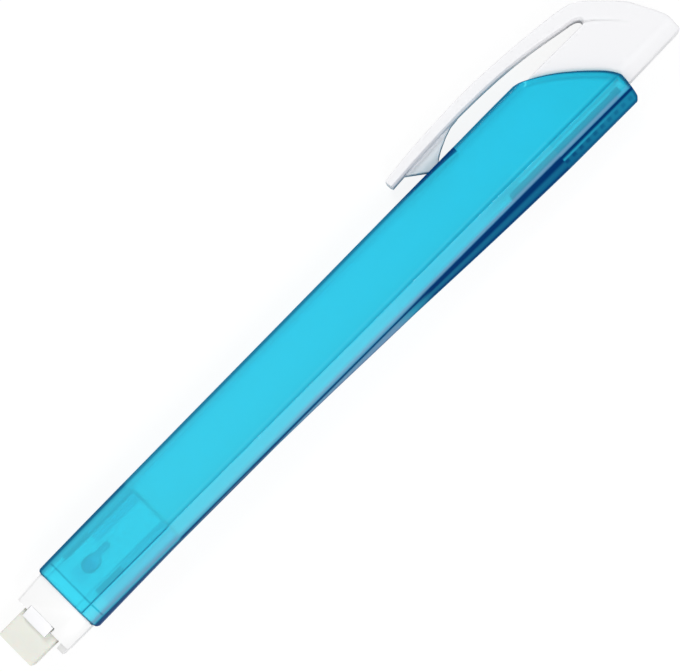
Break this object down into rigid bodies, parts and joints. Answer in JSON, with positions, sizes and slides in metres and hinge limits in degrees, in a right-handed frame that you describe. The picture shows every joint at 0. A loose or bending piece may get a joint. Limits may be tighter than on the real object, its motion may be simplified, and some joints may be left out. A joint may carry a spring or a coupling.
{
  "type": "pencil eraser stick",
  "caption": "Three-sided see-through stick holding a long eraser block, with a pull-off guide nosepiece and a push-in clip end cap on a ratchet.",
  "frame": {"origin": "centre of the rear broad face's plane, below the middle of the whole stick", "axes": "+X along the stick from the eraser tip to the end cap, +Y towards the clip, +Z from the rear broad face to the front one"},
  "size_m": [0.1416, 0.0201, 0.0096],
  "materials": {
    "clear_blue_plastic": "see-through blue moulding, polished outside",
    "white_nose_plastic": "smooth white moulding",
    "white_finger_plastic": "smooth white moulding",
    "eraser_vinyl": "matt off-white eraser block with fine dust",
    "milky_carrier_plastic": "unpolished milky moulding",
    "white_cap_plastic": "satin white moulding"
  },
  "bodies": {
    "barrel": {"barrel": "clear_blue_plastic"},
    "nose": {"nosepiece": "white_nose_plastic", "finger": "white_finger_plastic"},
    "slider": {"end_cap": "white_cap_plastic", "eraser_carrier": "milky_carrier_plastic"},
    "eraser": {"eraser": "eraser_vinyl"}
  },
  "joints": [
    {"name": "nose_pull", "type": "slide", "parent": "barrel", "child": "nose", "axis": [-1, 0, 0], "range_m": [0, 0.02]},
    {"name": "cap_push", "type": "slide", "parent": "barrel", "child": "slider", "axis": [-1, 0, 0], "range_m": [0, 0.01085]},
    {"name": "eraser_draw", "type": "slide", "parent": "slider", "child": "eraser", "axis": [-1, 0, 0], "range_m": [0, 0.022]}
  ]
}
